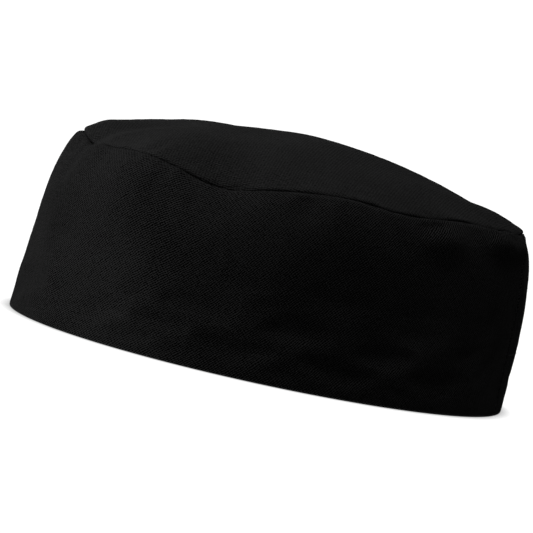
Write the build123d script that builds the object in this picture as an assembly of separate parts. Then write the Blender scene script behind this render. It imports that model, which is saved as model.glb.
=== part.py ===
"""A pillbox chef's skull cap, sewn from folded cloth, with an elasticated back.

Millimetres. +Z is up, -Y is the front of the wearer's head and +X the wearer's left.
The origin is the middle of the head opening, in the plane that the hem stands on.

The wall and the crown are stacks of ellipses, called rings here. Every ply of cloth is a shell
between two such stacks, one ply's depth apart, so the plies nest face to face.
"""

from build123d import *

import math
import os
from functools import cache

# --- Driving dimensions -------------------------------------------------------------------
HEM_LENGTH = 210.0          # front to back, outside
HEM_WIDTH = 172.0           # side to side, outside
SEAM_HEIGHT = 71.0          # hem to crown seam, at the middle of the cap
FRONT_RISE = 1.2            # the seam is this much higher at the front, and lower at the back
DOME_RISE = 18.5            # the crown's top, above its seam
DOME_POWER = 0.7            # below 1, so the crown leaves its seam upright and flattens out

SHOULDER_START = 0.5        # share of the height where the wall starts to round over
LEAN = {"front": 2.8, "side": 2.5, "back": 0.0}        # inwards, from hem to shoulder
SHOULDER = {"front": 8.9, "side": 9.0, "back": 7.5}    # inwards, from shoulder to seam

CLOTH = 0.6                 # one ply of twill
INTERLINING = 0.5
GAP = 0.05                  # air between pieces that lie on each other
SEAM_ALLOWANCE = 8.0        # cloth turned down inside the crown seam

BACK_HALF_ANGLE = 40.0      # the gathered back panel spans twice this, seen from above
JOIN_GAP = 0.1              # between an end of the front band and the back panel's
JOIN_STITCH_INSET = 1.6     # from the join to its row of stitches, on the front band

ELASTIC_THICK = 1.2
ELASTIC_LOW = 2.0
ELASTIC_HIGH = 22.0
ELASTIC_END = 1.0           # from the elastic's end to the join
CASING_TOP = 26.0           # where the inner ply closes on the outer one, above the elastic
CASING_STITCH = 24.5        # height of the row of stitches that closes the casing

SWEATBAND_THICK = 1.2
SWEATBAND_LOW = 3.0
SWEATBAND_HIGH = 31.0
SWEATBAND_END = 3.0         # degrees short of the back panel, at each end
EDGE_STITCH = 1.5           # from a sweatband's edge to its row of stitches

TAPE = 0.5                  # crown seam binding, folded over the raw edges
TAPE_COVER = 5.5            # how far up the seam allowance the binding reaches
TAPE_STITCH = 1.2           # from the binding's upper edge to its row of stitches
SEAM_STITCH = 1.4           # from the crown seam down to its row of stitches

LABEL_WIDTH = 24.0
LABEL_DROP = 30.0
LABEL_THICK = 0.3
LABEL_LOOP = 1.6            # outside thickness of the folded label
LABEL_TUCK = 4.0            # how far the label's top reaches up beside the binding
LABEL_STITCH = 1.5          # from the label's top to its row of stitches

THREAD = 0.4

# --- Derived sizes ------------------------------------------------------------------------
HALF_LENGTH = HEM_LENGTH / 2
HALF_WIDTH = HEM_WIDTH / 2
SHOULDER_Z = SEAM_HEIGHT * SHOULDER_START
INTERLINING_DEPTH = CLOTH + GAP
INNER_PLY_DEPTH = INTERLINING_DEPTH + INTERLINING + GAP
BAND_DEPTH = INNER_PLY_DEPTH + CLOTH
INTERLINING_TOP = SEAM_HEIGHT - 3.0
COLLAR_OUT = 0.3                             # the collar's outside, outwards of the seam
BAND_COLLAR = 2 * CLOTH                      # both band plies, in the seam allowance
CROWN_EDGE = BAND_COLLAR + GAP               # how far inside the seam the crown's edge lies
SEAM_STACK = CROWN_EDGE + CLOTH              # all three plies of the seam allowance
ELASTIC_DEPTH = CLOTH + GAP
CASING_DEPTH = ELASTIC_DEPTH + ELASTIC_THICK + GAP + CLOTH
FAR = 400.0                                  # larger than the cap, for cutting tools
SHOULDER_ANGLES = (0, 18, 34, 48, 60, 71, 81, 90)
DOME_SHARES = (1.0, 0.985, 0.95, 0.89, 0.8, 0.68, 0.53, 0.37, 0.2, 0.08)


# --- Rings --------------------------------------------------------------------------------
def ring(height, inset, lift=0.0):
    """Elliptical face at a height of the wall. inset maps front, side and back to mm inwards."""
    front = -(HALF_LENGTH - inset["front"])
    back = HALF_LENGTH - inset["back"]
    tilt = math.atan2(FRONT_RISE * height / SEAM_HEIGHT, HALF_LENGTH)
    plane = Plane(
        origin=(0, (front + back) / 2, height + lift),
        x_dir=(1, 0, 0),
        z_dir=(0, math.sin(tilt), math.cos(tilt)),
    )
    half_length = (back - front) / 2 / math.cos(tilt)
    return plane * Ellipse(HALF_WIDTH - inset["side"], half_length)


def spread(inset, more):
    """The same inset, further inwards all round."""
    return {where: value + more for where, value in inset.items()}


def shoulder_inset(angle):
    """Inset of the wall at an angle of its shoulder: 0 where it starts, 90 degrees at the seam."""
    return {w: LEAN[w] + SHOULDER[w] * (1 - math.cos(angle)) for w in LEAN}


HEM_INSET = {"front": 0.0, "side": 0.0, "back": 0.0}
SEAM_INSET = shoulder_inset(math.pi / 2)
CROWN_INSET = spread(SEAM_INSET, CROWN_EDGE)


def shoulder_ring(angle, depth):
    """Ring of the shoulder, a depth below the outer surface along the surface normal."""
    height = SHOULDER_Z + (SEAM_HEIGHT - SHOULDER_Z) * math.sin(angle)
    rise = (SEAM_HEIGHT - SHOULDER_Z) * math.cos(angle)
    normal = math.atan2(SHOULDER["side"] * math.sin(angle), rise)
    inset = spread(shoulder_inset(angle), depth * math.cos(normal))
    return ring(height, inset, lift=-depth * math.sin(normal))


def stack(rings):
    """Solid with straight sides from each ring to the next."""
    return loft([r.face() for r in rings], ruled=True)


def column(top, drop):
    """Solid straight down from a ring."""
    return extrude(top, amount=drop, dir=(0, 0, -1))


@cache
def wall_body(depth, below=0.0):
    """Solid filled out to the wall's surface at that depth. below starts it under the hem."""
    foot = ring(0.0, spread(HEM_INSET, depth))
    body = stack([foot] + [shoulder_ring(math.radians(a), depth) for a in SHOULDER_ANGLES])
    if below:
        body += column(foot, below)
    return body


def crown_body(depth, edge):
    """Solid filled out to the crown's surface at that depth, and edge mm down from the seam."""
    reach = (HALF_LENGTH + HALF_WIDTH) / 2 - CROWN_INSET["side"]
    rings = [ring(SEAM_HEIGHT, spread(CROWN_INSET, depth), lift=-edge)]
    for share in DOME_SHARES:
        rise = DOME_RISE * (1 - share**2) ** DOME_POWER
        slope = math.pi / 2
        if share < 1:
            steep = 2 * DOME_RISE * DOME_POWER * share * (1 - share**2) ** (DOME_POWER - 1)
            slope = math.atan2(steep, reach)
        size = {
            "front": HALF_LENGTH - (HALF_LENGTH - CROWN_INSET["front"]) * share,
            "side": HALF_WIDTH - (HALF_WIDTH - CROWN_INSET["side"]) * share,
            "back": HALF_LENGTH - (HALF_LENGTH - CROWN_INSET["back"]) * share,
        }
        inset = spread(size, depth * math.sin(slope))
        rings.append(ring(SEAM_HEIGHT, inset, lift=rise - depth * math.cos(slope)))
    return stack(rings)


# --- Layers and cutting tools -------------------------------------------------------------
def slab(low, high):
    return Pos(0, 0, (low + high) / 2) * Box(FAR, FAR, high - low)


def shell(outer_depth, inner_depth, low=None, high=None):
    """One layer of the wall between two depths, whole or between two heights."""
    body = wall_body(outer_depth) - wall_body(inner_depth, below=1.0)
    if low is not None:
        body &= slab(low, high)
    return body


def collar(outer, inner, low, high):
    """Upright ring inside the crown seam, between two insets and two distances below the seam."""
    top = ring(SEAM_HEIGHT, spread(SEAM_INSET, outer), lift=-high)
    hole = ring(SEAM_HEIGHT, spread(SEAM_INSET, inner), lift=1 - high)
    return column(top, low - high) - column(hole, low - high + 2)


def with_collar(wall):
    """Turns a wall's top down inside the crown seam, and opens it there."""
    plug_top = ring(SEAM_HEIGHT, spread(SEAM_INSET, -COLLAR_OUT), lift=-CLOTH)
    hole_top = ring(SEAM_HEIGHT, spread(SEAM_INSET, BAND_COLLAR), lift=2)
    plug = column(plug_top, SEAM_ALLOWANCE - CLOTH)
    return wall + plug - column(hole_top, SEAM_ALLOWANCE + 4)


def back_wedge(half_angle, inset=0.0):
    """All behind two upright planes through the middle. inset moves the planes backwards."""
    apex = inset / math.sin(math.radians(half_angle))
    side = FAR * math.tan(math.radians(half_angle))
    outline = make_face(Polyline((0, apex), (-side, FAR + apex), (side, FAR + apex), close=True))
    return Pos(0, 0, -FAR / 2) * extrude(outline, amount=FAR)


# --- Cloth pieces -------------------------------------------------------------------------
def front_band():
    """One strip folded double at the hem, with room for the interlining between its plies."""
    room = shell(CLOTH, INNER_PLY_DEPTH, CLOTH, INTERLINING_TOP + CLOTH)
    wall = with_collar(shell(0, BAND_DEPTH)) - back_wedge(BACK_HALF_ANGLE)
    return wall - room


def band_interlining():
    low = 2 * CLOTH
    layer = shell(INTERLINING_DEPTH, INTERLINING_DEPTH + INTERLINING, low, INTERLINING_TOP)
    return layer - back_wedge(BACK_HALF_ANGLE + 1)


def back_panel():
    """Strip folded double at the hem, with a casing round the elastic."""
    above = wall_body(2 * CLOTH) & slab(CASING_TOP, FAR)
    below = wall_body(CASING_DEPTH, below=1.0) & slab(-FAR, CASING_TOP)
    wall = with_collar(wall_body(0) - above - below)
    room = shell(CLOTH, CASING_DEPTH - CLOTH, CLOTH, ELASTIC_HIGH + 1)
    return (wall & back_wedge(BACK_HALF_ANGLE, JOIN_GAP)) - room


def back_elastic():
    webbing = shell(ELASTIC_DEPTH, ELASTIC_DEPTH + ELASTIC_THICK, ELASTIC_LOW, ELASTIC_HIGH)
    return webbing & back_wedge(BACK_HALF_ANGLE, ELASTIC_END)


def crown_panel():
    """Oval of one ply, domed, with its edge turned down inside the band's collar."""
    return crown_body(0, SEAM_ALLOWANCE) - crown_body(CLOTH, SEAM_ALLOWANCE + 1)


def crown_seam_binding():
    """Tape folded up round the raw lower edges of the seam allowance."""
    low, high = SEAM_ALLOWANCE + GAP + TAPE, SEAM_ALLOWANCE - TAPE_COVER
    outside = collar(-COLLAR_OUT - GAP - TAPE, SEAM_STACK + GAP + TAPE, low, high)
    return outside - collar(-COLLAR_OUT - GAP, SEAM_STACK + GAP, SEAM_ALLOWANCE + GAP, high - 1)


def sweatband():
    depth = BAND_DEPTH + GAP
    strip = shell(depth, depth + SWEATBAND_THICK, SWEATBAND_LOW, SWEATBAND_HIGH)
    return strip - back_wedge(BACK_HALF_ANGLE + SWEATBAND_END)


LABEL_TOP = SEAM_HEIGHT - SEAM_ALLOWANCE + LABEL_TUCK
LABEL_BACK_Y = HALF_LENGTH - SEAM_INSET["back"] - SEAM_STACK - TAPE - THREAD - 1.8


def care_label():
    """Blank satin tape folded in a loop that hangs from the binding, its two ends at the top."""
    tape = Box(LABEL_WIDTH, LABEL_LOOP, LABEL_DROP)
    folded = fillet(tape.edges().filter_by(Axis.X).sort_by(Axis.Z)[:2], LABEL_LOOP / 2 - 0.01)
    room = Box(LABEL_WIDTH + 1, LABEL_LOOP - 2 * LABEL_THICK, LABEL_DROP - LABEL_LOOP)
    middle = Pos(0, LABEL_BACK_Y - LABEL_LOOP / 2, LABEL_TOP - LABEL_DROP / 2)
    return middle * (folded - Pos(0, 0, LABEL_LOOP / 2) * room)


# --- Threads: a row of stitches is one continuous line of thread --------------------------
def thread_ring(inset, drop):
    """Row all round, on a face that far inside the crown seam, and drop below it."""
    return collar(inset + GAP, inset + GAP + THREAD, drop + THREAD / 2, drop - THREAD / 2)


def thread_row(depth, height):
    """Row along the wall, on its face at that depth: inside, or outside if depth is 0."""
    outer = -GAP - THREAD if depth == 0 else depth + GAP
    return shell(outer, outer + THREAD, height - THREAD / 2, height + THREAD / 2)


def crown_seam_thread():
    return thread_ring(SEAM_STACK, SEAM_STITCH)


def binding_thread():
    return thread_ring(SEAM_STACK + GAP + TAPE, SEAM_ALLOWANCE - TAPE_COVER + TAPE_STITCH)


def sweatband_thread():
    """Rows along the sweatband's lower and upper edges."""
    face = BAND_DEPTH + GAP + SWEATBAND_THICK
    ends = back_wedge(BACK_HALF_ANGLE + SWEATBAND_END, -1.0)
    heights = (SWEATBAND_LOW + EDGE_STITCH, SWEATBAND_HIGH - EDGE_STITCH)
    return Compound(children=[thread_row(face, z) - ends for z in heights])


def casing_thread():
    """The needle thread's row outside and the bobbin thread's row inside."""
    ends = back_wedge(BACK_HALF_ANGLE, ELASTIC_END)
    return Compound(children=[thread_row(d, CASING_STITCH) & ends for d in (0, CASING_DEPTH)])


def join_thread(side):
    """Upright row outside the front band, beside its join. side is 1 on the wearer's left."""
    layer = shell(-GAP - THREAD, -GAP, 1.0, SEAM_HEIGHT - 2 * FRONT_RISE)
    near = back_wedge(BACK_HALF_ANGLE, -JOIN_STITCH_INSET - THREAD)
    line = near - back_wedge(BACK_HALF_ANGLE, -JOIN_STITCH_INSET)
    return layer & line & (Pos(side * FAR / 2, 0, 0) * Box(FAR, 2 * FAR, FAR))


def label_thread():
    y = LABEL_BACK_Y - LABEL_LOOP - GAP - THREAD / 2
    return Pos(0, y, LABEL_TOP - LABEL_STITCH) * Box(LABEL_WIDTH - 2, THREAD, THREAD)


PIECES = {
    "front_band": front_band(),
    "band_interlining": band_interlining(),
    "back_panel": back_panel(),
    "back_elastic": back_elastic(),
    "crown_panel": crown_panel(),
    "crown_seam_binding": crown_seam_binding(),
    "sweatband": sweatband(),
    "care_label": care_label(),
    "crown_seam_thread": crown_seam_thread(),
    "binding_thread": binding_thread(),
    "sweatband_thread": sweatband_thread(),
    "casing_thread": casing_thread(),
    "join_thread_left": join_thread(1),
    "join_thread_right": join_thread(-1),
    "label_thread": label_thread(),
}

os.makedirs("parts", exist_ok=True)
for name, piece in PIECES.items():
    export_step(piece, f"parts/{name}.step")
    print(name, round(piece.volume, 1), "mm3")
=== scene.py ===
"""A black chef's skull cap sewn from twill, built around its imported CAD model.

Metres, in the CAD's frame: +Z is up, -Y the front of the wearer's head, +X the wearer's left.
Plan angles run anticlockwise seen from above: 0 at +X, 90 degrees at the back of the head.
"""

import math

import bpy
import numpy as np
from mathutils import Matrix, Vector


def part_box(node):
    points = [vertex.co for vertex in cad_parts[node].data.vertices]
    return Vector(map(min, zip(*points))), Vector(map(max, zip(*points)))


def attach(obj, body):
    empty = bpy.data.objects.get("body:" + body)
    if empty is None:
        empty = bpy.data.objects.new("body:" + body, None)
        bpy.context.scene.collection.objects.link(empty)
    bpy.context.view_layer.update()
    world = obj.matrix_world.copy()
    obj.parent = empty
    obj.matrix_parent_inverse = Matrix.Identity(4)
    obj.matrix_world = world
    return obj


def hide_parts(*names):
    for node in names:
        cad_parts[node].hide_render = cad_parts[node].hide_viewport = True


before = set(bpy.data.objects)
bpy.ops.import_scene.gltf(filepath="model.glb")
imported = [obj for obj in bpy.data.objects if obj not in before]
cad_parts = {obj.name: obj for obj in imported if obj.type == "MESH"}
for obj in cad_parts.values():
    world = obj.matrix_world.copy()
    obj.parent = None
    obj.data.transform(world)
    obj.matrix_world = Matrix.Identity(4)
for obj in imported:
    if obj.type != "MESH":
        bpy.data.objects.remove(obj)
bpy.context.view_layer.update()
MM = 0.001

# --- Camera and light -------------------------------------
CAMERA_AZIMUTH = math.radians(55.0)
CAMERA_ELEVATION = math.radians(4.5)
CAMERA_ROLL = math.radians(13.47)      # the picture's right side is turned down
CAMERA_DISTANCE = 1.3
CAMERA_LENS = 222.0                    # focal length in mm
CAMERA_SENSOR = 36.0                   # its width in mm
CAMERA_AIM = Vector((0.0, 0.0, 0.04))
AIM_RIGHT_OF_CENTRE = 6.39 * MM        # where the aim point lies in the picture
AIM_ABOVE_CENTRE = 2.73 * MM

WORLD_FILL = 0.045                     # even light from all round
SKY_WHITE = 1.1                        # the world and the floor as the camera sees them
FLOOR_WHITE = 1.12
FLOOR_BOUNCE = 0.12                    # grey of the floor for the light that it sends back
PAINTED_SHADE_REACH = 6.0 * MM               # reach of the shade painted into the floor's glow beside the hem
# Azimuth and elevation in degrees, distance and size in metres, and power in watts.
LIGHTS = {
    "key": (248.0, -3.0, 1.3, 0.9, 8.0),
    "top": (338.0, 79.0, 1.3, 0.7, 4.7),
    "back_fill": (182.0, 30.0, 1.6, 1.2, 2.6),
    "from_below": (0.0, -90.0, 0.9, 0.3, 9.0),
}

# --- The cap's shape, as in the CAD -----------------------
HALF_LENGTH = -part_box("front_band")[0].y
HALF_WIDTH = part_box("front_band")[1].x
SEAM_Z = 71.0 * MM
FRONT_RISE = 1.2 * MM
DOME_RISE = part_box("crown_panel")[1].z - SEAM_Z
DOME_POWER = 0.7
SHOULDER_START = 0.5
LEAN = (2.8 * MM, 2.5 * MM, 0.0)       # front, side, back
SHOULDER = (8.9 * MM, 9.0 * MM, 7.5 * MM)
CLOTH = 0.6 * MM
BAND_DEPTH = 1.8 * MM
PRESSED_DEPTH = 1.2 * MM               # both plies, where the seam presses them together
FOLD = BAND_DEPTH / 2                  # radius of the fold at the hem
PRESSED_FOLD = 0.5                     # 1 for a round fold at the hem, less for a squarer one
LIP = 1.0 * MM                         # radius of the band's roll into the crown seam
SEAM_ALLOWANCE = 8.0 * MM
JOIN_ROLL = 1.1 * MM                   # radius of each edge's roll into a join
BACK_HALF_ANGLE = math.radians(40.0)
SWEATBAND_HALF_ANGLE = math.radians(43.0)
CASING_STITCH = 24.5 * MM
CASING_SLACK = 0.2 * MM                # spare depth in the casing, round the elastic
ELASTIC_THICK = 1.2 * MM
INTERLINING = 0.5 * MM
BINDING_TAPE = 0.5 * MM
LABEL_TAPE = 0.28 * MM
SWEATBAND_DEPTH = BAND_DEPTH + 0.75 * MM     # from the wall's outer face to its middle
SWEATBAND_STITCH = 1.5 * MM            # from each edge of the sweatband
JOIN_STITCH = 2.0 * MM                 # from the join


def oval_angle(from_back):
    """Plan angle on the oval, at a true angle either side of straight back."""
    return math.atan2(math.cos(from_back) / HALF_LENGTH, math.sin(from_back) / HALF_WIDTH)


JOIN_ANGLE = oval_angle(BACK_HALF_ANGLE)
FRONT_FIRST, FRONT_LAST = math.pi - JOIN_ANGLE, 2 * math.pi + JOIN_ANGLE
BACK_FIRST, BACK_LAST = JOIN_ANGLE, math.pi - JOIN_ANGLE
SWEATBAND_FIRST = math.pi - oval_angle(SWEATBAND_HALF_ANGLE)
SWEATBAND_LAST = 2 * math.pi + oval_angle(SWEATBAND_HALF_ANGLE)

JOIN_RADIUS = HALF_LENGTH * math.cos(JOIN_ANGLE) ** 2 + HALF_WIDTH * math.sin(JOIN_ANGLE) ** 2
JOIN_STITCH_ANGLE = JOIN_STITCH / JOIN_RADIUS
MEAN_RADIUS = (HALF_LENGTH + HALF_WIDTH) / 2

# Where the seam sags below its ideal line, or stands above it: plan angle and half width in
# degrees, and how far down.
SEAM_SAGS = (
    (311, 13, 5.6 * MM), (261, 6, 3.1 * MM), (274, 8, 1.5 * MM),
    (343, 11, -1.9 * MM), (18, 14, -2.6 * MM), (38, 8, -1.4 * MM), (57, 8, -1.7 * MM),
    (92, 20, 1.2 * MM), (146, 12, 1.6 * MM), (192, 14, -1.2 * MM), (221, 9, 1.4 * MM),
)

# Bulges and hollows below the seam: plan angle and half width in degrees, how far they stand
# out, their distance below the seam, and their reach up and down.
SEAM_PUCKERS = (
    (253, 7, -2.2 * MM, 8 * MM, 6 * MM), (296, 7, -1.2 * MM, 13 * MM, 9 * MM),
    (36, 13, 1.7 * MM, 7 * MM, 5 * MM), (9, 5, 2.7 * MM, 9.5 * MM, 5.5 * MM),
    (18, 3, -0.8 * MM, 6 * MM, 5 * MM), (3.5, 2, -0.6 * MM, 5 * MM, 3 * MM),
    (30, 7, 1.8 * MM, 6 * MM, 4 * MM), (24.5, 2, -0.6 * MM, 5 * MM, 3 * MM),
    (44, 7, 1.0 * MM, 6 * MM, 4 * MM), (37.5, 2.5, -0.8 * MM, 5 * MM, 3.5 * MM),
    (57, 12, -1.3 * MM, 3 * MM, 6 * MM), (334, 4, -0.6 * MM, 7 * MM, 6 * MM),
    (120, 5, -0.9 * MM, 8 * MM, 6 * MM), (166, 6, 0.9 * MM, 8 * MM, 7 * MM),
    (204, 5, -1.0 * MM, 8 * MM, 6 * MM), (232, 6, -0.8 * MM, 9 * MM, 7 * MM),
)


# --- Small helpers ----------------------------------------
def smooth(x, low, high):
    """0 below low, 1 above high, and an S-curve between."""
    t = np.clip((x - low) / (high - low), 0, 1)
    return t * t * (3 - 2 * t)


def ripple(x, wavelength, seed, spread=0.45, terms=6):
    """Uneven waves along x, about 1 high, whose wavelengths scatter round the one given."""
    random = np.random.default_rng(seed)
    total = np.zeros_like(x, dtype=float)
    for _ in range(terms):
        length = wavelength * (1 + spread * random.uniform(-1, 1))
        total += np.sin(2 * math.pi * (x / length + random.uniform()))
    return total / math.sqrt(terms)


def hump(x, centre, half_width):
    """1 at the centre, and nearly 0 from twice half_width away."""
    return np.exp(-(((x - centre) / half_width) ** 2))


def angle_bump(theta, centre, half_width):
    """A hump round a plan angle. Both are in degrees."""
    away = (np.degrees(theta) - centre + 180) % 360 - 180
    return hump(away, 0, half_width)


def by_side(values, theta):
    """Blends a front, a side and a back value by plan angle."""
    front, side, back = values
    s = np.sin(theta)
    return front * np.clip(-s, 0, None) ** 2 + side * np.cos(theta) ** 2 + back * np.clip(s, 0, None) ** 2


def seam_sag(theta):
    """How far the crown seam hangs below its ideal line."""
    return sum(drop * angle_bump(theta, centre, width) for centre, width, drop in SEAM_SAGS)


def seam_inset(theta):
    """How far the crown seam lies inside the hem's outline, and further in where it sags."""
    return by_side(LEAN, theta) + by_side(SHOULDER, theta) + 0.5 * seam_sag(theta)


def seam_height(theta):
    """Height of the crown seam above the hem."""
    return SEAM_Z - FRONT_RISE * np.sin(theta) - seam_sag(theta)


def plan(theta, inset, z):
    """Points at a plan angle, an inset from the hem's outline, and a height."""
    x = (HALF_WIDTH - inset) * np.cos(theta)
    y = (HALF_LENGTH - inset) * np.sin(theta)
    return np.stack([x, y, z + 0 * x], -1)


def path_lengths(points):
    """Distance along axis 1 of a grid, from its first row."""
    steps = np.linalg.norm(np.diff(points, axis=1), axis=-1)
    return np.concatenate([np.zeros((len(points), 1)), np.cumsum(steps, 1)], 1)


def unit(v):
    """Vectors of length 1 in the same directions."""
    return v / np.maximum(np.linalg.norm(v, axis=-1, keepdims=True), 1e-12)


def grid_normals(points):
    """Outward normals of a grid whose first axis runs anticlockwise and second axis upwards."""
    around = np.gradient(points, axis=0)
    if np.linalg.norm(points[0, 0] - points[-1, 0]) < 1e-7:
        around[0] = around[-1] = points[1] - points[-2]
    return unit(np.cross(around, np.gradient(points, axis=1)))


# --- Mesh building ----------------------------------------
def mesh_object(name, vertices, faces, uvs=None):
    """uvs holds one pair, in millimetres of cloth, for each corner of each face."""
    mesh = bpy.data.meshes.new(name)
    mesh.from_pydata(np.asarray(vertices).tolist(), [], faces)
    mesh.polygons.foreach_set("use_smooth", [True] * len(mesh.polygons))
    if uvs is not None:
        layer = mesh.uv_layers.new(name="cloth")
        layer.data.foreach_set("uv", np.asarray(uvs, np.float32).ravel())
    mesh.update()
    obj = bpy.data.objects.new(name, mesh)
    bpy.context.scene.collection.objects.link(obj)
    return obj


def grid_faces(columns, rows):
    """Quads of a grid, facing outwards where rows run down a wall."""
    i, j = np.meshgrid(np.arange(columns - 1), np.arange(rows - 1), indexing="ij")
    corner = i * rows + j
    return np.stack([corner, corner + 1, corner + rows + 1, corner + rows], -1).reshape(-1, 4)


def strip_object(name, points, closed=False, along=None):
    """Sheet of cloth from a grid of points. closed joins its last column to its first.

    along places each column on the weave. By default that is its distance along the middle row.
    """
    columns, rows = points.shape[:2]
    across = path_lengths(points).mean(0)[None] + np.zeros((columns, 1))
    if along is None:
        along = path_lengths(points.transpose(1, 0, 2))[rows // 2]
    uv = np.stack([along[:, None] + 0 * across, -across], -1).reshape(-1, 2) / MM
    quads = grid_faces(columns, rows)
    uvs = uv[quads.ravel()]
    if closed:
        last = (columns - 1) * rows
        quads = np.where(quads >= last, quads - last, quads)
        points = points[:-1]
    return mesh_object(name, points.reshape(-1, 3), quads.tolist(), uvs)


def loop_object(name, loops):
    """Solid swept through closed loops of points, one loop for each column."""
    columns, rows = loops.shape[:2]
    closed = np.concatenate([loops, loops[:, :1]], 1)
    across = path_lengths(closed)
    along = path_lengths(closed.transpose(1, 0, 2))[0][:, None] + 0 * across
    uv = np.stack([along, across], -1).reshape(-1, 2) / MM
    quads = grid_faces(columns, rows + 1)
    uvs = uv[quads.ravel()]
    column, row = np.divmod(quads, rows + 1)
    faces = (column * rows + row % rows).tolist()
    first = list(range(rows))
    faces += [first, [(columns - 1) * rows + k for k in reversed(first)]]
    uvs = np.concatenate([uvs, np.zeros((2 * rows, 2))])
    return mesh_object(name, loops.reshape(-1, 3), faces, uvs)


def apply_modifiers(obj):
    """Puts the result of a piece's modifiers in place of its mesh."""
    bpy.context.view_layer.update()
    graph = bpy.context.evaluated_depsgraph_get()
    mesh = bpy.data.meshes.new_from_object(obj.evaluated_get(graph), depsgraph=graph)
    old = obj.data
    obj.modifiers.clear()
    obj.data = mesh
    bpy.data.meshes.remove(old)
    return obj


def thicken(obj, thickness, offset=-1.0):
    """Gives a sheet its thickness. offset -1 adds it behind the face, 0 on both sides."""
    solid = obj.modifiers.new("thickness", "SOLIDIFY")
    solid.thickness = thickness
    solid.offset = offset
    return apply_modifiers(obj)


# --- Cloth simulation -------------------------------------
SIM_SCALE = 10.0       # the solver works on a cap ten times too large, where its springs behave
SIM_FRAMES = 26
EASE_REACH = 26 * MM   # how far below the seam a wall's spare width reaches
EASE_BELOW = 0.25      # share of the spare width that goes on down to the hem


def settle(obj, rest, held, bending):
    """Runs a cloth simulation on a sheet and returns where its vertices come to rest.

    rest holds the vertices of the cut cloth before sewing, held how firmly each is kept in place.
    """
    count = len(obj.data.vertices)
    start = np.empty(count * 3)
    obj.data.vertices.foreach_get("co", start)
    obj.shape_key_add(name="sewn").data.foreach_set("co", start * SIM_SCALE)
    obj.data.vertices.foreach_set("co", start * SIM_SCALE)
    cut = obj.shape_key_add(name="cut")
    cut.data.foreach_set("co", np.asarray(rest).ravel() * SIM_SCALE)
    group = obj.vertex_groups.new(name="held")
    for index, weight in enumerate(held):
        group.add([index], float(weight), "REPLACE")
    cloth = obj.modifiers.new("cloth", "CLOTH")
    settings = cloth.settings
    settings.quality = 5
    settings.mass = 0.02
    settings.tension_stiffness = settings.compression_stiffness = 25.0
    settings.shear_stiffness = 12.0
    settings.bending_stiffness = bending
    settings.tension_damping = settings.compression_damping = settings.shear_damping = 10.0
    settings.air_damping = 4.0
    settings.vertex_group_mass = "held"
    settings.pin_stiffness = 10.0
    settings.rest_shape_key = cut
    cloth.collision_settings.use_collision = False
    cloth.point_cache.frame_start, cloth.point_cache.frame_end = 1, SIM_FRAMES
    scene = bpy.context.scene
    for number in range(1, SIM_FRAMES + 1):
        scene.frame_set(number)
    graph = bpy.context.evaluated_depsgraph_get()
    evaluated = obj.evaluated_get(graph).to_mesh()
    end = np.empty(count * 3)
    evaluated.vertices.foreach_get("co", end)
    obj.evaluated_get(graph).to_mesh_clear()
    bpy.data.objects.remove(obj)
    scene.frame_set(1)
    return end.reshape(-1, 3) / SIM_SCALE


def settle_wall(points, slack, hold, bending):
    """Settles a wall's outer face, cut a little wider than the seam it is sewn into."""
    rows = SEAM_ROW + 1
    face = points[:, :rows]
    wider = 1 + slack * hump(below_seam(points)[:, :rows], 0, EASE_REACH) + EASE_BELOW * slack
    cut = face * np.stack([wider, wider, 0 * wider + 1], -1)
    held = np.full(face.shape[:2], hold)
    held[:, :2] = held[:, -1] = held[:3] = held[-3:] = 1.0
    sheet = strip_object("wall_cloth", face)
    settled = points.copy()
    settled[:, :rows] = settle(sheet, cut.reshape(-1, 3), held.ravel(), bending).reshape(face.shape)
    return settled


# --- The wall: band and back panel ------------------------
LEAN_ROWS = 24
SHOULDER_ROWS = 26
LIP_ROWS = 6
COLLAR_ROWS = 5
SEAM_ROW = LEAN_ROWS + SHOULDER_ROWS - 1     # the last row of the shoulder
UPRIGHT_ROWS = SEAM_ROW - 8                  # below the shoulder's nearly level top


def wall_base(theta):
    """The wall's outer face: rows up from the hem, over the shoulder and lip, down the collar."""
    theta = theta[:, None]
    height, lean, inset = seam_height(theta), by_side(LEAN, theta), seam_inset(theta)
    start = SHOULDER_START * height
    t = np.linspace(0, 1, LEAN_ROWS)[None]
    z = FOLD + t * (start - FOLD)
    parts = [(lean * z / start, z)]
    a = np.linspace(0, math.pi / 2, SHOULDER_ROWS + 1)[None, 1:]
    parts.append((lean + (inset - lean) * (1 - np.cos(a)), start + (height - start) * np.sin(a)))
    a = np.linspace(0, math.pi / 2, LIP_ROWS + 1)[None, 1:]
    parts.append((inset + LIP * np.sin(a), height - LIP * (1 - np.cos(a))))
    t = np.linspace(0, 1, COLLAR_ROWS + 1)[None, 1:]
    parts.append((inset + LIP + 0 * t, height - LIP - t * (SEAM_ALLOWANCE - LIP)))
    insets = np.concatenate([p[0] for p in parts], 1)
    heights = np.concatenate([p[1] for p in parts], 1)
    return plan(theta, insets, heights)


def below_seam(points):
    """Distance along the cloth down from the seam, for a wall's face."""
    lengths = path_lengths(points)
    return lengths[:, SEAM_ROW][:, None] - lengths


def arc_position(theta):
    """Distance round the hem from +X, for waves that don't care about the oval's shape."""
    return theta * MEAN_RADIUS


FINE_GATHER = 2.3 * MM
COARSE_GATHER = 1.8 * MM
INNER_GATHER = 0.8      # height of the inner ply's gathers, as a share of the outer ply's


def in_back_panel(theta, start, full):
    """Rises from 0 to 1, from start to full degrees behind the nearer of the two joins."""
    away = np.abs((theta - math.pi / 2 + math.pi) % (2 * math.pi) - math.pi)
    behind = math.pi / 2 - JOIN_ANGLE - away
    return smooth(behind, math.radians(start), math.radians(full))


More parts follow.
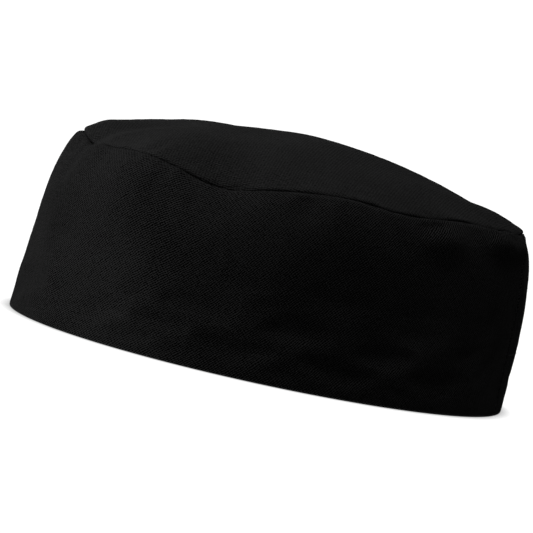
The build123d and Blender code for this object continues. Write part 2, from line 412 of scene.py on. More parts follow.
def gathers(theta, z):
    """How far the elasticated back panel's folds stand out from the elastic.

    Fine folds fill the casing. Higher up they run together into coarse ones, and fade.
    """
    s = arc_position(theta)
    warp = 2.2 * MM * ripple(s, 31 * MM, 11)
    fine = 0.5 + 0.5 * ripple(s + warp, 6.4 * MM, 12, spread=0.12, terms=3)
    coarse = 0.5 + 0.5 * ripple(s + 1.5 * warp, 14 * MM, 13, spread=0.2, terms=3)
    low = 1 - smooth(z, 20 * MM, 46 * MM)
    mid = 1 - smooth(z, 40 * MM, 68 * MM)
    at_stitches, at_hem = hump(z, CASING_STITCH, 1.6 * MM), hump(z, 0, 2.5 * MM)
    pinch = (1 - 0.6 * at_stitches) * (1 - 0.4 * at_hem)
    fold = FINE_GATHER * low * np.clip(fine, 0, 1.3)
    fold += COARSE_GATHER * mid * (1 - 0.6 * low) * np.clip(coarse, 0, 1.3)
    return in_back_panel(theta, 8, 34) * fold * pinch


def wall_relief(theta, points):
    """Displacement of the wall's outer face along its normal: soft undulation and puckers."""
    theta = theta[:, None] + 0 * points[..., 0]
    s, z = arc_position(theta), points[..., 2]
    below = below_seam(points)
    # Shallow waves over the whole wall.
    free = smooth(z, 0, 12 * MM) * smooth(below, -1 * MM, 9 * MM)
    relief = free * 0.24 * MM * ripple(s + 0.4 * z, 74 * MM, 3)
    relief += free * 0.13 * MM * ripple(s - 0.7 * z, 37 * MM, 4)
    # Small puckers just below the seam, and the ridge of the allowance behind it.
    near_seam = np.exp(-((np.clip(below, 0, None) / (7.5 * MM)) ** 1.5))
    on_wall = smooth(below, -0.6 * MM, 1.2 * MM)
    strength = 0.5 + 0.5 * np.clip(ripple(s, 58 * MM, 7), -0.6, 1.4)
    puckers = ripple(s + 0.25 * below, 9.5 * MM, 5) + 0.5 * ripple(s, 4.6 * MM, 6)
    relief += near_seam * on_wall * strength * 0.30 * MM * puckers
    ridge = 1 + 0.7 * ripple(s, 21 * MM, 8)
    relief += 0.3 * MM * ridge * hump(below, 1.8 * MM, 1.2 * MM)
    # The larger puckers and bulges that the photo shows.
    for centre, width, height, drop, reach in SEAM_PUCKERS:
        relief += height * angle_bump(theta, centre, width) * (hump(below, drop, reach) * on_wall)
    relief += 0.9 * MM * angle_bump(theta, 240, 20) * hump(z, 12 * MM, 30 * MM)
    relief += 1.0 * MM * angle_bump(theta, 57, 12) * free * hump(z, 34 * MM, 16 * MM)
    return relief + gathers(theta, z) * smooth(below, 0, 20 * MM)


def join_roll(theta, first, last):
    """How far the cloth rolls in beside the joins at plan angles first and last."""
    reach = np.minimum(theta - first, last - theta) * MEAN_RADIUS
    short = np.clip(1 - reach / JOIN_ROLL, 0, 1)
    return -JOIN_ROLL * (1 - np.sqrt(1 - short**2))


def wall_columns(first, last, spacing):
    """Plan angles from one join to the other, closer together beside the joins."""
    roll = JOIN_ROLL / MEAN_RADIUS
    edge = np.array([0, 0.08, 0.25, 0.5, 0.85]) * roll
    count = round((last - first) * MEAN_RADIUS / spacing)
    inner = np.linspace(first + 1.4 * roll, last - 1.4 * roll, count)
    return np.concatenate([first + edge, inner, (last - edge)[::-1]])


def wall_faces(first, last, spacing, slack, hold, bending):
    """Outer face grid and its normals, between two joins.

    slack is the spare width it is cut with, and hold how firmly the simulation keeps its shape.
    """
    theta = wall_columns(first, last, spacing)
    points = wall_base(theta)
    points = points + grid_normals(points) * wall_relief(theta, points)[..., None]
    points = points + grid_normals(points) * join_roll(theta, first, last)[:, None, None]
    points = settle_wall(points, slack, hold, bending)
    return theta, points, grid_normals(points)


def folded_strip(points, normals, depth):
    """The whole strip as one path: down the outer face, round the hem, and up the inner face."""
    inner = points - normals * depth[..., None]
    turn = np.linspace(0, math.pi, 9)[1:-1]
    out, down = normals[:, :1], np.array([0.0, 0.0, -1.0])
    flat_out = unit(out * np.array([1.0, 1.0, 0.0]))
    radius = depth[:, :1, None] / 2
    centre = points[:, :1] - flat_out * radius
    sideways = np.sign(np.cos(turn)) * np.abs(np.cos(turn)) ** PRESSED_FOLD
    drop = FOLD * np.sin(turn) ** PRESSED_FOLD
    fold = centre + radius * sideways[None, :, None] * flat_out + drop[None, :, None] * down
    return np.concatenate([points[:, ::-1], fold, inner], 1)


def band_depth(points):
    """Distance between the outer and the inner face of the double wall."""
    return PRESSED_DEPTH + (BAND_DEPTH - PRESSED_DEPTH) * smooth(below_seam(points), 1 * MM, 6 * MM)


def casing_depth(theta, points):
    """As band_depth, for the back panel: the inner ply stands off round the elastic."""
    z = points[..., 2]
    around = 1 - smooth(z, 22 * MM, CASING_STITCH)
    swing = (1 + INNER_GATHER) * gathers(theta[:, None] + 0 * z, z)
    slack = CASING_SLACK + ELASTIC_THICK * in_back_panel(theta, 0, 2)[:, None]
    casing = PRESSED_DEPTH + around * (slack + swing)
    return np.where(np.arange(z.shape[1])[None] > SEAM_ROW, PRESSED_DEPTH, casing)


def make_front_band():
    """The band, stiffened by its interlining and so nearly smooth."""
    theta, points, normals = wall_faces(
        FRONT_FIRST, FRONT_LAST, spacing=1.75 * MM, slack=0.006, hold=0.07, bending=5.0)
    strip = folded_strip(points, normals, band_depth(points))
    band = strip_object("front_band_cloth", strip)
    return thicken(band, CLOTH), (theta, points, normals)


def make_back_panel():
    """The back panel, gathered by its elastic."""
    theta, points, _ = wall_faces(
        BACK_FIRST, BACK_LAST, spacing=0.8 * MM, slack=0.02, hold=0.08, bending=0.4)
    normals = grid_normals(wall_base(theta))     # those of the gathers themselves would cross
    strip = folded_strip(points, normals, casing_depth(theta, points))
    panel = strip_object("back_panel_cloth", strip, along=arc_position(theta))
    return thicken(panel, CLOTH), (theta, points, normals)


# --- Pieces laid on the wall ------------------------------
def at_heights(points, normals, heights):
    """Where the wall's outer face, and its normal, are at some heights below the shoulder."""
    place = np.empty((len(points), len(heights), 3))
    out = np.empty_like(place)
    for column, (p, n) in enumerate(zip(points[:, :UPRIGHT_ROWS], normals[:, :UPRIGHT_ROWS])):
        for axis in range(3):
            place[column, :, axis] = np.interp(heights, p[:, 2], p[:, axis])
            out[column, :, axis] = np.interp(heights, p[:, 2], n[:, axis])
    return place, unit(out)


def make_interlining(faces):
    """The stiffening ply, between the front band's two plies of twill.

    It ends short of the seam allowance, of the fold and of the joins.
    """
    _, points, normals = faces
    middle = points - normals * (band_depth(points) / 2)[..., None]
    rows = np.flatnonzero((below_seam(points)[0] > 6 * MM) & (points[0, :, 2] > 1.5 * MM))
    layer = strip_object("band_interlining_cloth", middle[2:-2, rows][:, ::-1])
    return thicken(layer, INTERLINING, 0.0)


def make_elastic():
    """Flat woven elastic with raised ribs, in the casing along the back panel's hem."""
    theta = np.linspace(BACK_FIRST + 0.012, BACK_LAST - 0.012, 150)
    wall = wall_base(theta)
    heights = np.linspace(2.2 * MM, 21.8 * MM, 14)
    place, out = at_heights(wall, grid_normals(wall), heights)
    ribs = 0.08 * MM * np.sin(2 * math.pi * heights / (2.2 * MM))[None, :, None]
    place = place - out * (CLOTH + CASING_SLACK / 2 + ELASTIC_THICK / 2 + ribs)
    webbing = strip_object("back_elastic_webbing", place[:, ::-1])
    return thicken(webbing, ELASTIC_THICK - CASING_SLACK, 0.0)


def make_sweatband(faces):
    """Folded strip of pique, stitched along both its edges and a little padded between them."""
    theta, points, normals = faces
    low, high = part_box("sweatband")[0].z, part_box("sweatband")[1].z
    inside = (theta > SWEATBAND_FIRST) & (theta < SWEATBAND_LAST)
    side = np.linspace(0, math.pi, 19)
    middle, half = (low + high) / 2, (high - low) / 2
    shape = np.concatenate([-np.cos(side), np.cos(side)[1:-1]])
    heights = middle + half * np.sign(shape) * (1 - (1 - np.abs(shape)) ** 1.3)
    order = np.argsort(heights)
    place, out = at_heights(points[inside], normals[inside], heights[order])
    back = np.argsort(order)
    place, out = place[:, back], out[:, back]
    near_stitch = np.minimum(heights - low, high - heights)
    pinch = 1 - 0.4 * hump(near_stitch, SWEATBAND_STITCH, 0.7 * MM)
    puff = 0.6 * MM + 0.45 * MM * smooth(near_stitch, SWEATBAND_STITCH, 9 * MM)
    thick = puff * pinch * np.sqrt(np.clip(1 - np.abs(shape) ** 12, 0, 1))
    s = arc_position(theta[inside])[:, None]
    wave = 1 + 0.25 * ripple(s + 0 * heights, 11 * MM, 31) * smooth(near_stitch, 0, 6 * MM)
    facing = np.where(np.arange(len(shape)) < len(side), 1.0, -1.0)
    depth = SWEATBAND_DEPTH + facing * thick * np.where(facing > 0, wave, 1.0)
    return loop_object("sweatband_strip", (place - out * depth[..., None])[:, ::-1])


def make_binding():
    """Tape folded up round the crown seam's raw edges."""
    theta = np.linspace(0, 2 * math.pi, 421)
    outer, inner = -0.2 * MM, 2.25 * MM
    radius = (inner - outer) / 2
    turn = np.linspace(0, math.pi, 9)[1:-1]
    cover = np.linspace(2.5 * MM, SEAM_ALLOWANCE, 7)
    fold = outer + radius * (1 - np.cos(turn))
    offsets = np.concatenate([0 * cover + outer, fold, 0 * cover + inner])
    drops = np.concatenate([cover, SEAM_ALLOWANCE + radius * np.sin(turn), cover[::-1]])
    s = arc_position(theta)[:, None]
    ease = 0.22 * MM * ripple(s + 0 * drops, 13 * MM, 41) * smooth(drops, 3 * MM, 9 * MM)
    inset, height = seam_inset(theta)[:, None], seam_height(theta)[:, None]
    points = plan(theta[:, None], inset + offsets + ease, height - drops)
    points[-1] = points[0]
    tape = strip_object("crown_seam_binding_tape", points, closed=True)
    return thicken(tape, BINDING_TAPE, 0.0)


def make_label():
    """Blank satin tape, folded double, hanging from the binding at the back."""
    low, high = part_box("care_label")
    back = HALF_LENGTH - seam_inset(np.array(math.pi / 2)) - 2.65 * MM
    down = np.linspace(0, 1, 22)
    length = high.z - low.z - 0.7 * MM
    turn = np.linspace(0, math.pi, 9)[1:-1]
    radius = 0.65 * MM
    fold, closing = radius * (1 - np.cos(turn)), 0.55 * MM * (down**6)
    depth = np.concatenate([0 * down, fold, 2 * radius - closing])
    drop = np.concatenate([down * length, length + radius * np.sin(turn), (1 - down) * length])
    across = np.linspace(low.x, high.x, 25)[:, None]
    hang = drop / length
    sway = 1.6 * MM * hang**2 * np.sin(across / (9 * MM) + 0.4) + 1.0 * MM * hang**2
    points = np.stack([across + 0.6 * MM * hang, back - depth - sway, high.z - drop + 0 * across], -1)
    return thicken(strip_object("care_label_tape", points), LABEL_TAPE, 0.0)


# --- Stitches ---------------------------------------------
def stitch_row(name, place, out, pitch=3.4 * MM, length=2.7 * MM, radius=0.22 * MM):
    """A row of separate stitches along a line of points, each one dipping into the cloth."""
    along = np.concatenate([[0], np.cumsum(np.linalg.norm(np.diff(place, axis=0), axis=-1))])
    count = int((along[-1] - length) / pitch) + 1
    sides = 6
    turn = np.linspace(0, 2 * math.pi, sides + 1)[:-1]
    share = np.linspace(-1, 1, 7)
    vertices, faces = [], []
    for stitch in range(count):
        middle = length / 2 + stitch * pitch
        where = middle + share * length / 2
        centre = np.stack([np.interp(where, along, place[:, k]) for k in range(3)], -1)
        normal = unit(np.stack([np.interp(where, along, out[:, k]) for k in range(3)], -1))
        ahead = unit(np.gradient(centre, axis=0))
        side = np.cross(ahead, normal)
        lift = (0.55 * radius - 1.6 * radius * share**4)[:, None]
        size = (radius * np.sqrt(np.clip(1.15 - share**4, 0.1, 1)))[:, None, None]
        around = np.cos(turn)[None, :, None] * side[:, None]
        around = around + np.sin(turn)[None, :, None] * normal[:, None]
        tube = (centre + normal * lift)[:, None] + size * around
        rings = range(len(vertices), len(vertices) + len(share) * sides, sides)
        vertices.extend(tube.reshape(-1, 3))
        for near, far in zip(rings, rings[1:]):
            for b in range(sides):
                c = (b + 1) % sides
                faces.append([near + b, near + c, far + c, far + b])
        faces.append([rings[0] + b for b in reversed(range(sides))])
        faces.append([rings[-1] + b for b in range(sides)])
    return mesh_object(name, vertices, faces)


def join(name, objects):
    """Makes one piece of several."""
    bpy.ops.object.select_all(action="DESELECT")
    for obj in objects:
        obj.select_set(True)
    bpy.context.view_layer.objects.active = objects[0]
    bpy.ops.object.join()
    objects[0].name = name
    return objects[0]


def seam_line(offset, drop):
    """A line all round inside the crown seam, facing the middle of the cap."""
    theta = np.linspace(0, 2 * math.pi, 700)
    place = plan(theta, seam_inset(theta) + offset, seam_height(theta) - drop)
    facing = np.stack([-np.cos(theta), -np.sin(theta), 0 * theta], -1)
    return place, facing


def make_seam_threads():
    """The row that sews crown and wall together, and the row that holds the binding."""
    line = seam_line(1.97 * MM, 1.4 * MM)
    crown_row = stitch_row("crown_seam_stitches", *line, pitch=3.0 * MM, length=2.6 * MM)
    binding_row = stitch_row("binding_stitches", *seam_line(2.53 * MM, 3.7 * MM))
    return crown_row, binding_row


def make_sweatband_stitches(faces):
    """A row along each edge of the sweatband."""
    theta, points, normals = faces
    inside = (theta > SWEATBAND_FIRST + 0.01) & (theta < SWEATBAND_LAST - 0.01)
    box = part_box("sweatband")
    rows = []
    for height in (box[0].z + SWEATBAND_STITCH, box[1].z - SWEATBAND_STITCH):
        place, out = at_heights(points[inside], normals[inside], np.array([height]))
        place = place - out * (SWEATBAND_DEPTH + 0.38 * MM)
        rows.append(stitch_row("row", place[:, 0], -out[:, 0]))
    return join("sweatband_stitches", rows)


def make_casing_stitches(faces):
    """The row above the elastic, seen on both sides of the back panel."""
    _, points, normals = faces
    place, out = at_heights(points[4:-4], normals[4:-4], np.array([CASING_STITCH]))
    outside = stitch_row("row", place[:, 0], out[:, 0], pitch=3.0 * MM, length=2.4 * MM)
    inner = place - out * PRESSED_DEPTH
    inside = stitch_row("row", inner[:, 0], -out[:, 0], pitch=3.0 * MM, length=2.4 * MM)
    return join("casing_stitches", [outside, inside])


def make_join_stitches(name, faces, angle):
    """Topstitching up the front band, beside its join with the back panel."""
    theta, points, normals = faces
    column = int(np.argmin(np.abs(theta - angle)))
    rows = slice(2, SEAM_ROW - 1)
    return stitch_row(name, points[column, rows], normals[column, rows])


def make_label_stitches():
    """A short row across the top of the label."""
    low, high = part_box("care_label")
    y = HALF_LENGTH - seam_inset(np.array(math.pi / 2)) - 4.0 * MM
    x = np.linspace(low.x + 1 * MM, high.x - 1 * MM, 40)
    place = np.stack([x, 0 * x + y, 0 * x + high.z - 1.5 * MM], -1)
    return stitch_row("label_stitches", place, np.tile([0.0, -1.0, 0.0], (40, 1)), radius=0.18 * MM)


# --- The crown --------------------------------------------
CROWN_RINGS = 45
CROWN_SPARE = 0.008     # how much wider than its seam the crown is cut

# The crown's bulges and hollows: plan angle and half width in degrees, how far they rise, and
# their place and reach between the middle (0) and the seam (1).
CROWN_BULGES = (
    (243, 18, 1.3 * MM, 0.93, 0.07),
    (243, 25, -1.0 * MM, 0.68, 0.15),
    (58, 25, -2.4 * MM, 0.6, 0.22),
)


def crown_points(theta, share):
    """The crown's outer face. share is 0 at the middle and 1 at the seam."""
    rim = seam_inset(theta) + LIP + 0.05 * MM
    plain = by_side(LEAN, theta) + by_side(SHOULDER, theta) + LIP
    inset = plain + (rim - plain) * share**5
    rise = DOME_RISE * np.clip(1 - share**2, 0, 1) ** DOME_POWER
    z = SEAM_Z - FRONT_RISE * np.sin(theta) * share - seam_sag(theta) * share**5 + rise
    x = (HALF_WIDTH - inset) * share * np.cos(theta)
    y = (HALF_LENGTH - inset) * share * np.sin(theta)
    s = arc_position(theta)
    from_rim = (1 - share) * MEAN_RADIUS
    # Puckers beside the seam, and broad hollows and swellings after the photo's outline.
    puckers = 0.28 * MM * ripple(s, 10 * MM, 21) * hump(from_rim, 0, 9 * MM)
    broad = 0.5 * MM * ripple(x + 0.3 * y, 60 * MM, 22) * (1 - share**4)
    for centre, width, height, ring, reach in CROWN_BULGES:
        broad += height * angle_bump(theta, centre, width) * hump(share, ring, reach)
    across = 0.57 * x + 0.82 * y
    broad += 1.2 * MM * hump(across, 2 * MM, 17 * MM) * (1 - share**4)
    z = z + (puckers * smooth(from_rim, 0, 3 * MM) + broad)
    # The crown's edge hangs over the seam here and there.
    overhang = 0.6 * MM * (1 + 1.4 * ripple(s, 33 * MM, 23)) + 0.9 * MM * angle_bump(theta, 243, 9)
    out = np.clip(overhang, 0, 1.3 * MM) * hump(rise, 1.3 * MM, 1.3 * MM)
    return np.stack([x + out * np.cos(theta), y + out * np.sin(theta), z], -1)


def crown_reach(theta, share):
    """Distance from the crown's middle, measured along the cloth."""
    steps = np.sin(np.linspace(0, math.pi / 2, 25))[:, None, None]
    line = crown_points(theta + 0 * steps, share * steps)
    return np.linalg.norm(np.diff(line, axis=0), axis=-1).sum(0)


def make_crown():
    """A disc of quads in square rings, bent into the oval dome, with its edge turned down."""
    side = np.arange(-CROWN_RINGS, CROWN_RINGS + 1)
    a, b = np.meshgrid(side, side, indexing="ij")
    ring = np.maximum(np.abs(a), np.abs(b))
    safe_a, safe_b = np.where(a == 0, 1, a), np.where(b == 0, 1, b)
    theta = np.where(
        np.abs(a) >= np.abs(b),
        math.pi / 4 * b / safe_a + np.where(a < 0, math.pi, 0),
        math.pi / 2 - math.pi / 4 * a / safe_b + np.where(b < 0, math.pi, 0),
    )
    share = np.sin(math.pi / 2 * ring / CROWN_RINGS)
    top = crown_points(theta, share)
    count = 2 * CROWN_RINGS + 1
    i, j = np.meshgrid(np.arange(count - 1), np.arange(count - 1), indexing="ij")
    corner = i * count + j
    quads = np.stack([corner, corner + count, corner + count + 1, corner + 1], -1).reshape(-1, 4)
    edge = np.flatnonzero(ring.ravel() == CROWN_RINGS)
    edge = edge[np.argsort(theta.ravel()[edge] % (2 * math.pi))]
    rim = top.reshape(-1, 3)[edge]
    angle = theta.ravel()[edge]
    foot_z = seam_height(angle) - SEAM_ALLOWANCE
    rows = []
    for t in np.linspace(0, 1, 7)[1:]:
        row = rim.copy()
        row[:, 2] = rim[:, 2] + t * (foot_z - rim[:, 2])
        rows.append(row)
    vertices = np.concatenate([top.reshape(-1, 3)] + rows)
    flat = vertices[:, :2].copy()
    flat[:count**2] = unit(flat[:count**2]) * crown_reach(theta, share).reshape(-1, 1)
    out = np.stack([np.cos(angle), np.sin(angle)], -1)
    index = [edge] + [count**2 + k * len(edge) + np.arange(len(edge)) for k in range(len(rows))]
    for k in range(1, len(index)):
        flat[index[k]] += out * (rim[:, 2] - rows[k - 1][:, 2])[:, None]
    skirt = []
    for upper, lower in zip(index, index[1:]):
        skirt.append(np.stack([upper, lower, np.roll(lower, -1), np.roll(upper, -1)], -1))
    faces = np.concatenate([quads] + skirt)
    slack = 1 + CROWN_SPARE * np.array([1.0, 1.0, 0.0])
    held = np.full(len(vertices), 0.1)
    held[edge] = held[count**2:] = 1.0
    sheet = mesh_object("crown_cloth", vertices, faces.tolist())
    vertices = settle(sheet, vertices * slack, held, 4.0)
    crown = mesh_object("crown_panel_cloth", vertices, faces.tolist(), flat[faces.ravel()] / MM)
    return thicken(crown, CLOTH)


# --- Materials --------------------------------------------
class Shader:
    """A node material with one Principled BSDF, and short ways to add nodes to it."""

    def __init__(self, name, roughness=0.9, sheen=0.0, sheen_roughness=0.5, specular=0.3):
        self.material = bpy.data.materials.new(name)
        self.material.use_nodes = True
        self.nodes = self.material.node_tree.nodes
        self.links = self.material.node_tree.links
        self.bsdf = self.nodes["Principled BSDF"]
        self.bsdf.inputs["Roughness"].default_value = roughness
        self.bsdf.inputs["Sheen Weight"].default_value = sheen
        self.bsdf.inputs["Sheen Roughness"].default_value = sheen_roughness
        self.bsdf.inputs["Specular IOR Level"].default_value = specular

    def put(self, socket, value):
        """Links a node's output to a socket, or sets the socket to a number."""
        if isinstance(value, bpy.types.NodeSocket):
            self.links.new(value, socket)
        else:
            socket.default_value = value

    def math(self, operation, *values):
        node = self.nodes.new("ShaderNodeMath")
        node.operation = operation
        for socket, value in zip(node.inputs, values):
            self.put(socket, value)
        return node.outputs[0]

    def cloth_uv(self):
        """Millimetres along and across the cloth."""
        node = self.nodes.new("ShaderNodeUVMap")
        node.uv_map = "cloth"
        split = self.nodes.new("ShaderNodeSeparateXYZ")
        self.links.new(node.outputs[0], split.inputs[0])
        return split.outputs[0], split.outputs[1], node.outputs[0]

    def noise(self, vector, scale, detail=2.0, roughness=0.5):
        node = self.nodes.new("ShaderNodeTexNoise")
        self.put(node.inputs["Vector"], vector)
        node.inputs["Scale"].default_value = scale
        node.inputs["Detail"].default_value = detail
        node.inputs["Roughness"].default_value = roughness
        return node.outputs[0]

    def object_space(self):
        return self.nodes.new("ShaderNodeTexCoord").outputs["Object"]

    def ramp(self, value, *stops):
        """Maps 0 to 1 onto colours, each stop a place and a grey or a colour."""
        node = self.nodes.new("ShaderNodeValToRGB")
        self.put(node.inputs[0], value)
        elements = node.color_ramp.elements
        while len(elements) < len(stops):
            elements.new(0.5)
        for element, (place, colour) in zip(elements, stops):
            element.position = place
            colour = (colour,) * 3 if isinstance(colour, float) else colour
            element.color = (*colour, 1.0)
        return node.outputs[0]

    def bump(self, height, distance, strength=1.0):
        node = self.nodes.new("ShaderNodeBump")
        node.inputs["Strength"].default_value = strength
        node.inputs["Distance"].default_value = distance
        self.put(node.inputs["Height"], height)
        return node.outputs[0]

    def finish(self, colour, normal):
        self.put(self.bsdf.inputs["Base Color"], colour)
        self.put(self.bsdf.inputs["Normal"], normal)
        return self.material


WALE = 0.8          # mm from one twill line to the next
FLOAT = 1.1         # mm from one thread crossing to the next, along a twill line
SATIN_LINE = 0.25   # mm from one of the satin's lines to the next


def weave_waves(shader, u, v, wander):
    """Heights, 0 to 1, of the twill's raised lines and of the crossings along them."""
    across = shader.math("SUBTRACT", u, v)
    across = shader.math("ADD", across, wander)
    line = shader.math("SINE", shader.math("MULTIPLY", across, 2 * math.pi / (WALE * math.sqrt(2))))
    along = shader.math("ADD", u, v)
    float_ = shader.math("SINE", shader.math("MULTIPLY", along, 2 * math.pi / (FLOAT * math.sqrt(2))))
    height = shader.math("MULTIPLY_ADD", line, 0.36, 0.5)
    return shader.math("MULTIPLY_ADD", float_, 0.16, height)


def twill(name, dark, light, drift):
    """Black twill: slanting lines that drift a few tenths of a mm, and uneven yarn."""
    shader = Shader(name, roughness=0.9, sheen=0.01, sheen_roughness=0.4, specular=0.03)
    u, v, uv = shader.cloth_uv()
    wander = shader.math("MULTIPLY", shader.noise(uv, 0.35, 3.0), drift)
    wander = shader.math("MULTIPLY_ADD", shader.noise(uv, 1.6, 1.0), 0.5, wander)
    height = weave_waves(shader, u, v, wander)
    yarn = shader.noise(uv, 1.0, 2.0, 0.7)
    rough_height = shader.math("MULTIPLY_ADD", yarn, 0.8, height)
    cloudy = shader.noise(shader.object_space(), 26.0, 3.0)
    # Partly painted shade: the colour follows the weave's height and is darker in the valleys between the
    # raised twill lines. The yarn noise and the cloudy noise vary the tone at random.
    weave_tone_and_valley_shade = shader.math("MULTIPLY_ADD", cloudy, 0.35, shader.math("MULTIPLY", rough_height, 0.72))
    colour = shader.ramp(weave_tone_and_valley_shade, (0.66, dark), (0.98, light))
    normal = shader.bump(rough_height, 0.09 * MM, 1.0)
    return shader.finish(colour, normal)


def plain_weave(name, dark, light, pitch, distance):
    """Plain-woven tape or pique: a grid of rounded bumps, pitch mm apart."""
    shader = Shader(name, roughness=0.85, sheen=0.1, specular=0.25)
    u, v, uv = shader.cloth_uv()
    turn = 2 * math.pi / pitch
    first = shader.math("SINE", shader.math("MULTIPLY", u, turn))
    second = shader.math("SINE", shader.math("MULTIPLY", v, turn))
    height = shader.math("MULTIPLY_ADD", shader.math("MULTIPLY", first, second), 0.4, 0.5)
    height = shader.math("MULTIPLY_ADD", shader.noise(uv, 1.8, 3.0), 0.4, height)
    colour = shader.ramp(height, (0.2, dark), (1.0, light))
    return shader.finish(colour, shader.bump(height, distance, 0.8))


def satin(name, dark, light):
    """Satin ribbon: fine lines across, and gloss."""
    shader = Shader(name, roughness=0.38, sheen=0.1, specular=0.5)
    _, v, uv = shader.cloth_uv()
    line = shader.math("SINE", shader.math("MULTIPLY", v, 2 * math.pi / SATIN_LINE))
    height = shader.math("MULTIPLY_ADD", line, 0.3, shader.noise(uv, 1.2, 2.0))
    colour = shader.ramp(height, (0.1, dark), (0.9, light))
    return shader.finish(colour, shader.bump(height, 0.03 * MM, 0.6))


def spun_thread(name, dark, light):
    """Twisted thread: fine noise in its colour and its bumps."""
    shader = Shader(name, roughness=0.75, sheen=0.02, specular=0.12)
    place = shader.object_space()
    height = shader.noise(place, 5200.0, 2.0)
    colour = shader.ramp(height, (0.3, dark), (0.7, light))
    return shader.finish(colour, shader.bump(height, 0.05 * MM, 0.7))


SOFT_BLACK = (0.012, 0.012, 0.013)
OFF_WHITE = (0.6, 0.6, 0.58)

MATERIALS = {
    "twill": twill("black_twill", (0.0005, 0.0005, 0.0005), (0.045, 0.045, 0.0455), drift=1.6),
    # Painted sheen: the crown's copy of the black twill is lighter in its dark lines, for the sheen that
    # its cloth shows at a grazing view.
    "crown_twill_painted_sheen": twill("black_crown_twill", (0.009, 0.009, 0.009), (0.047, 0.047, 0.0475), drift=2.6),
    "interlining": plain_weave("interlining", (0.55, 0.55, 0.53), (0.8, 0.8, 0.78), 0.9, 0.05 * MM),
    "elastic": plain_weave("woven_elastic", (0.01, 0.01, 0.01), (0.05, 0.05, 0.05), 1.1, 0.2 * MM),
    "binding_tape": plain_weave("binding_tape", SOFT_BLACK, (0.06, 0.06, 0.062), 0.5, 0.1 * MM),
    "sweatband_cloth": plain_weave("sweatband_pique", SOFT_BLACK, (0.055, 0.055, 0.057), 1.6, 0.25 * MM),
    "label_satin": satin("label_satin", OFF_WHITE, (0.85, 0.85, 0.83)),
    "thread": spun_thread("black_thread", (0.012, 0.012, 0.0125), (0.045, 0.045, 0.046)),
    "label_thread": spun_thread("white_thread", OFF_WHITE, (0.8, 0.8, 0.78)),
}


def give(obj, slot, node, look=None):
    """Final steps for a piece: its material, its body, and the CAD node it stands for."""
    obj.data.materials.clear()
    obj.data.materials.append(MATERIALS[look or slot])
    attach(obj, "root")
    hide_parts(node)
    return obj


# --- Stage, light and camera ------------------------------
def make_floor():
    """White glowing floor, with painted shade right beside the hem, where ambient occlusion dims its
    glow. From below it can be seen through.
    """
    reach = 30.0
    corners = [(-reach, -reach, 0), (reach, -reach, 0), (reach, reach, 0), (-reach, reach, 0)]
    mesh = bpy.data.meshes.new("floor")
    mesh.from_pydata(corners, [], [(0, 1, 2, 3)])
    floor = bpy.data.objects.new("floor", mesh)
    bpy.context.scene.collection.objects.link(floor)
    material = bpy.data.materials.new("floor_white")
    material.use_nodes = True
    nodes, links = material.node_tree.nodes, material.node_tree.links
    nodes.clear()
    # Painted shade: ambient occlusion dims the floor's white glow beside the hem, in place of a cast
    # shadow.
    painted_contact_shade = nodes.new("ShaderNodeAmbientOcclusion")
    painted_contact_shade.inputs["Distance"].default_value = PAINTED_SHADE_REACH
    painted_contact_shade.samples = 16
    bright = nodes.new("ShaderNodeMath")
    bright.operation = "MULTIPLY"
    bright.inputs[1].default_value = FLOOR_WHITE
    links.new(painted_contact_shade.outputs["AO"], bright.inputs[0])
    white = nodes.new("ShaderNodeEmission")
    links.new(bright.outputs[0], white.inputs["Strength"])
    dim = nodes.new("ShaderNodeBsdfDiffuse")
    dim.inputs["Color"].default_value = (FLOOR_BOUNCE, FLOOR_BOUNCE, FLOOR_BOUNCE, 1)
    clear = nodes.new("ShaderNodeBsdfTransparent")
    path = nodes.new("ShaderNodeLightPath")
    side = nodes.new("ShaderNodeNewGeometry")
    choices = (
        (path.outputs["Is Camera Ray"], white), (side.outputs["Backfacing"], clear),
        (path.outputs["Is Shadow Ray"], clear),
    )
    shown = dim
    for condition, otherwise in choices:
        mix = nodes.new("ShaderNodeMixShader")
        links.new(condition, mix.inputs[0])
        links.new(shown.outputs[0], mix.inputs[1])
        links.new(otherwise.outputs[0], mix.inputs[2])
        shown = mix
    out = nodes.new("ShaderNodeOutputMaterial")
    links.new(shown.outputs[0], out.inputs[0])
    floor.data.materials.append(material)


def make_world():
    """White where the camera sees it, and a dim even fill for everything else."""
    world = bpy.data.worlds.new("studio")
    bpy.context.scene.world = world
    world.use_nodes = True
    nodes, links = world.node_tree.nodes, world.node_tree.links
    nodes.clear()
    out = nodes.new("ShaderNodeOutputWorld")
    path = nodes.new("ShaderNodeLightPath")
    fill = nodes.new("ShaderNodeBackground")
    fill.inputs["Strength"].default_value = WORLD_FILL
    white = nodes.new("ShaderNodeBackground")
    white.inputs["Color"].default_value = (1, 1, 1, 1)
    white.inputs["Strength"].default_value = SKY_WHITE
    mix = nodes.new("ShaderNodeMixShader")
    links.new(path.outputs["Is Camera Ray"], mix.inputs[0])
    links.new(fill.outputs[0], mix.inputs[1])
    links.new(white.outputs[0], mix.inputs[2])
    links.new(mix.outputs[0], out.inputs[0])


def camera_axes():
    """The camera's right, up and back directions."""
    a, e = CAMERA_AZIMUTH, CAMERA_ELEVATION
    back = Vector((math.sin(a) * math.cos(e), -math.cos(a) * math.cos(e), math.sin(e)))
    level = Vector((math.cos(a), math.sin(a), 0.0))
    upright = back.cross(level)
    c, s = math.cos(CAMERA_ROLL), math.sin(CAMERA_ROLL)
    return level * c + upright * s, upright * c - level * s, back


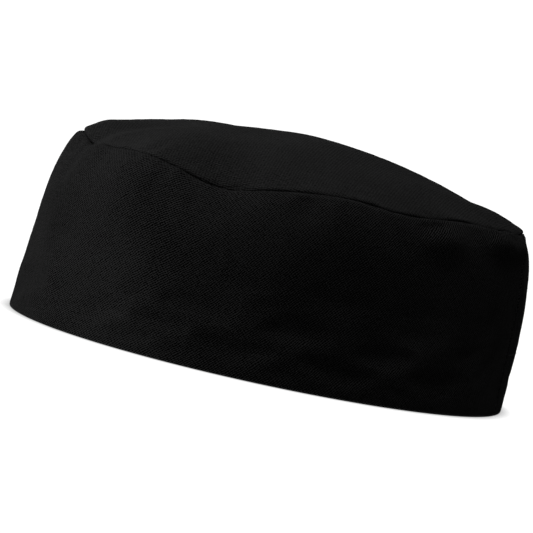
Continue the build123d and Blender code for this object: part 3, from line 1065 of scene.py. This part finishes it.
def make_camera():
    """The photo's camera, as it was fitted to the cap's outline."""
    right, up, back = camera_axes()
    place = CAMERA_AIM + back * CAMERA_DISTANCE - right * AIM_RIGHT_OF_CENTRE - up * AIM_ABOVE_CENTRE
    data = bpy.data.cameras.new("camera")
    data.lens = CAMERA_LENS
    data.sensor_width = CAMERA_SENSOR
    data.clip_start, data.clip_end = 0.01, 200.0
    camera = bpy.data.objects.new("camera", data)
    turn = Matrix((right, up, back)).transposed().to_4x4()
    camera.matrix_world = Matrix.Translation(place) @ turn
    bpy.context.scene.collection.objects.link(camera)
    bpy.context.scene.camera = camera


def area_light(name, azimuth, elevation, distance, size, power):
    """Square soft light that shines on the cap, its azimuth measured from +X like a plan angle."""
    azimuth, elevation = math.radians(azimuth), math.radians(elevation)
    level = math.cos(elevation)
    out = Vector((math.cos(azimuth) * level, math.sin(azimuth) * level, math.sin(elevation)))
    data = bpy.data.lights.new(name, "AREA")
    data.size = size
    data.energy = power
    light = bpy.data.objects.new(name, data)
    light.location = CAMERA_AIM + out * distance
    light.rotation_mode = "QUATERNION"
    light.rotation_quaternion = out.to_track_quat("Z", "Y")
    bpy.context.scene.collection.objects.link(light)


# --- The scene --------------------------------------------
bpy.context.scene.view_settings.view_transform = "Standard"
make_floor()
make_world()
make_camera()
for light_name, placing in LIGHTS.items():
    area_light(light_name, *placing)

front_band, front_faces = make_front_band()
give(front_band, "twill", "front_band")
interlining = give(make_interlining(front_faces), "interlining", "band_interlining")
back_panel, back_faces = make_back_panel()
give(back_panel, "twill", "back_panel")
elastic = give(make_elastic(), "elastic", "back_elastic")
crown = give(make_crown(), "twill", "crown_panel", look="crown_twill_painted_sheen")
binding = give(make_binding(), "binding_tape", "crown_seam_binding")
strip = give(make_sweatband(front_faces), "sweatband_cloth", "sweatband")
label = give(make_label(), "label_satin", "care_label")
crown_row, binding_row = make_seam_threads()
give(crown_row, "thread", "crown_seam_thread")
give(binding_row, "thread", "binding_thread")
give(make_sweatband_stitches(front_faces), "thread", "sweatband_thread")
give(make_casing_stitches(back_faces), "thread", "casing_thread")
join_left = make_join_stitches("join_left_stitches", front_faces, FRONT_LAST - JOIN_STITCH_ANGLE)
give(join_left, "thread", "join_thread_left")
join_right = make_join_stitches("join_right_stitches", front_faces, FRONT_FIRST + JOIN_STITCH_ANGLE)
give(join_right, "thread", "join_thread_right")
give(make_label_stitches(), "label_thread", "label_thread")
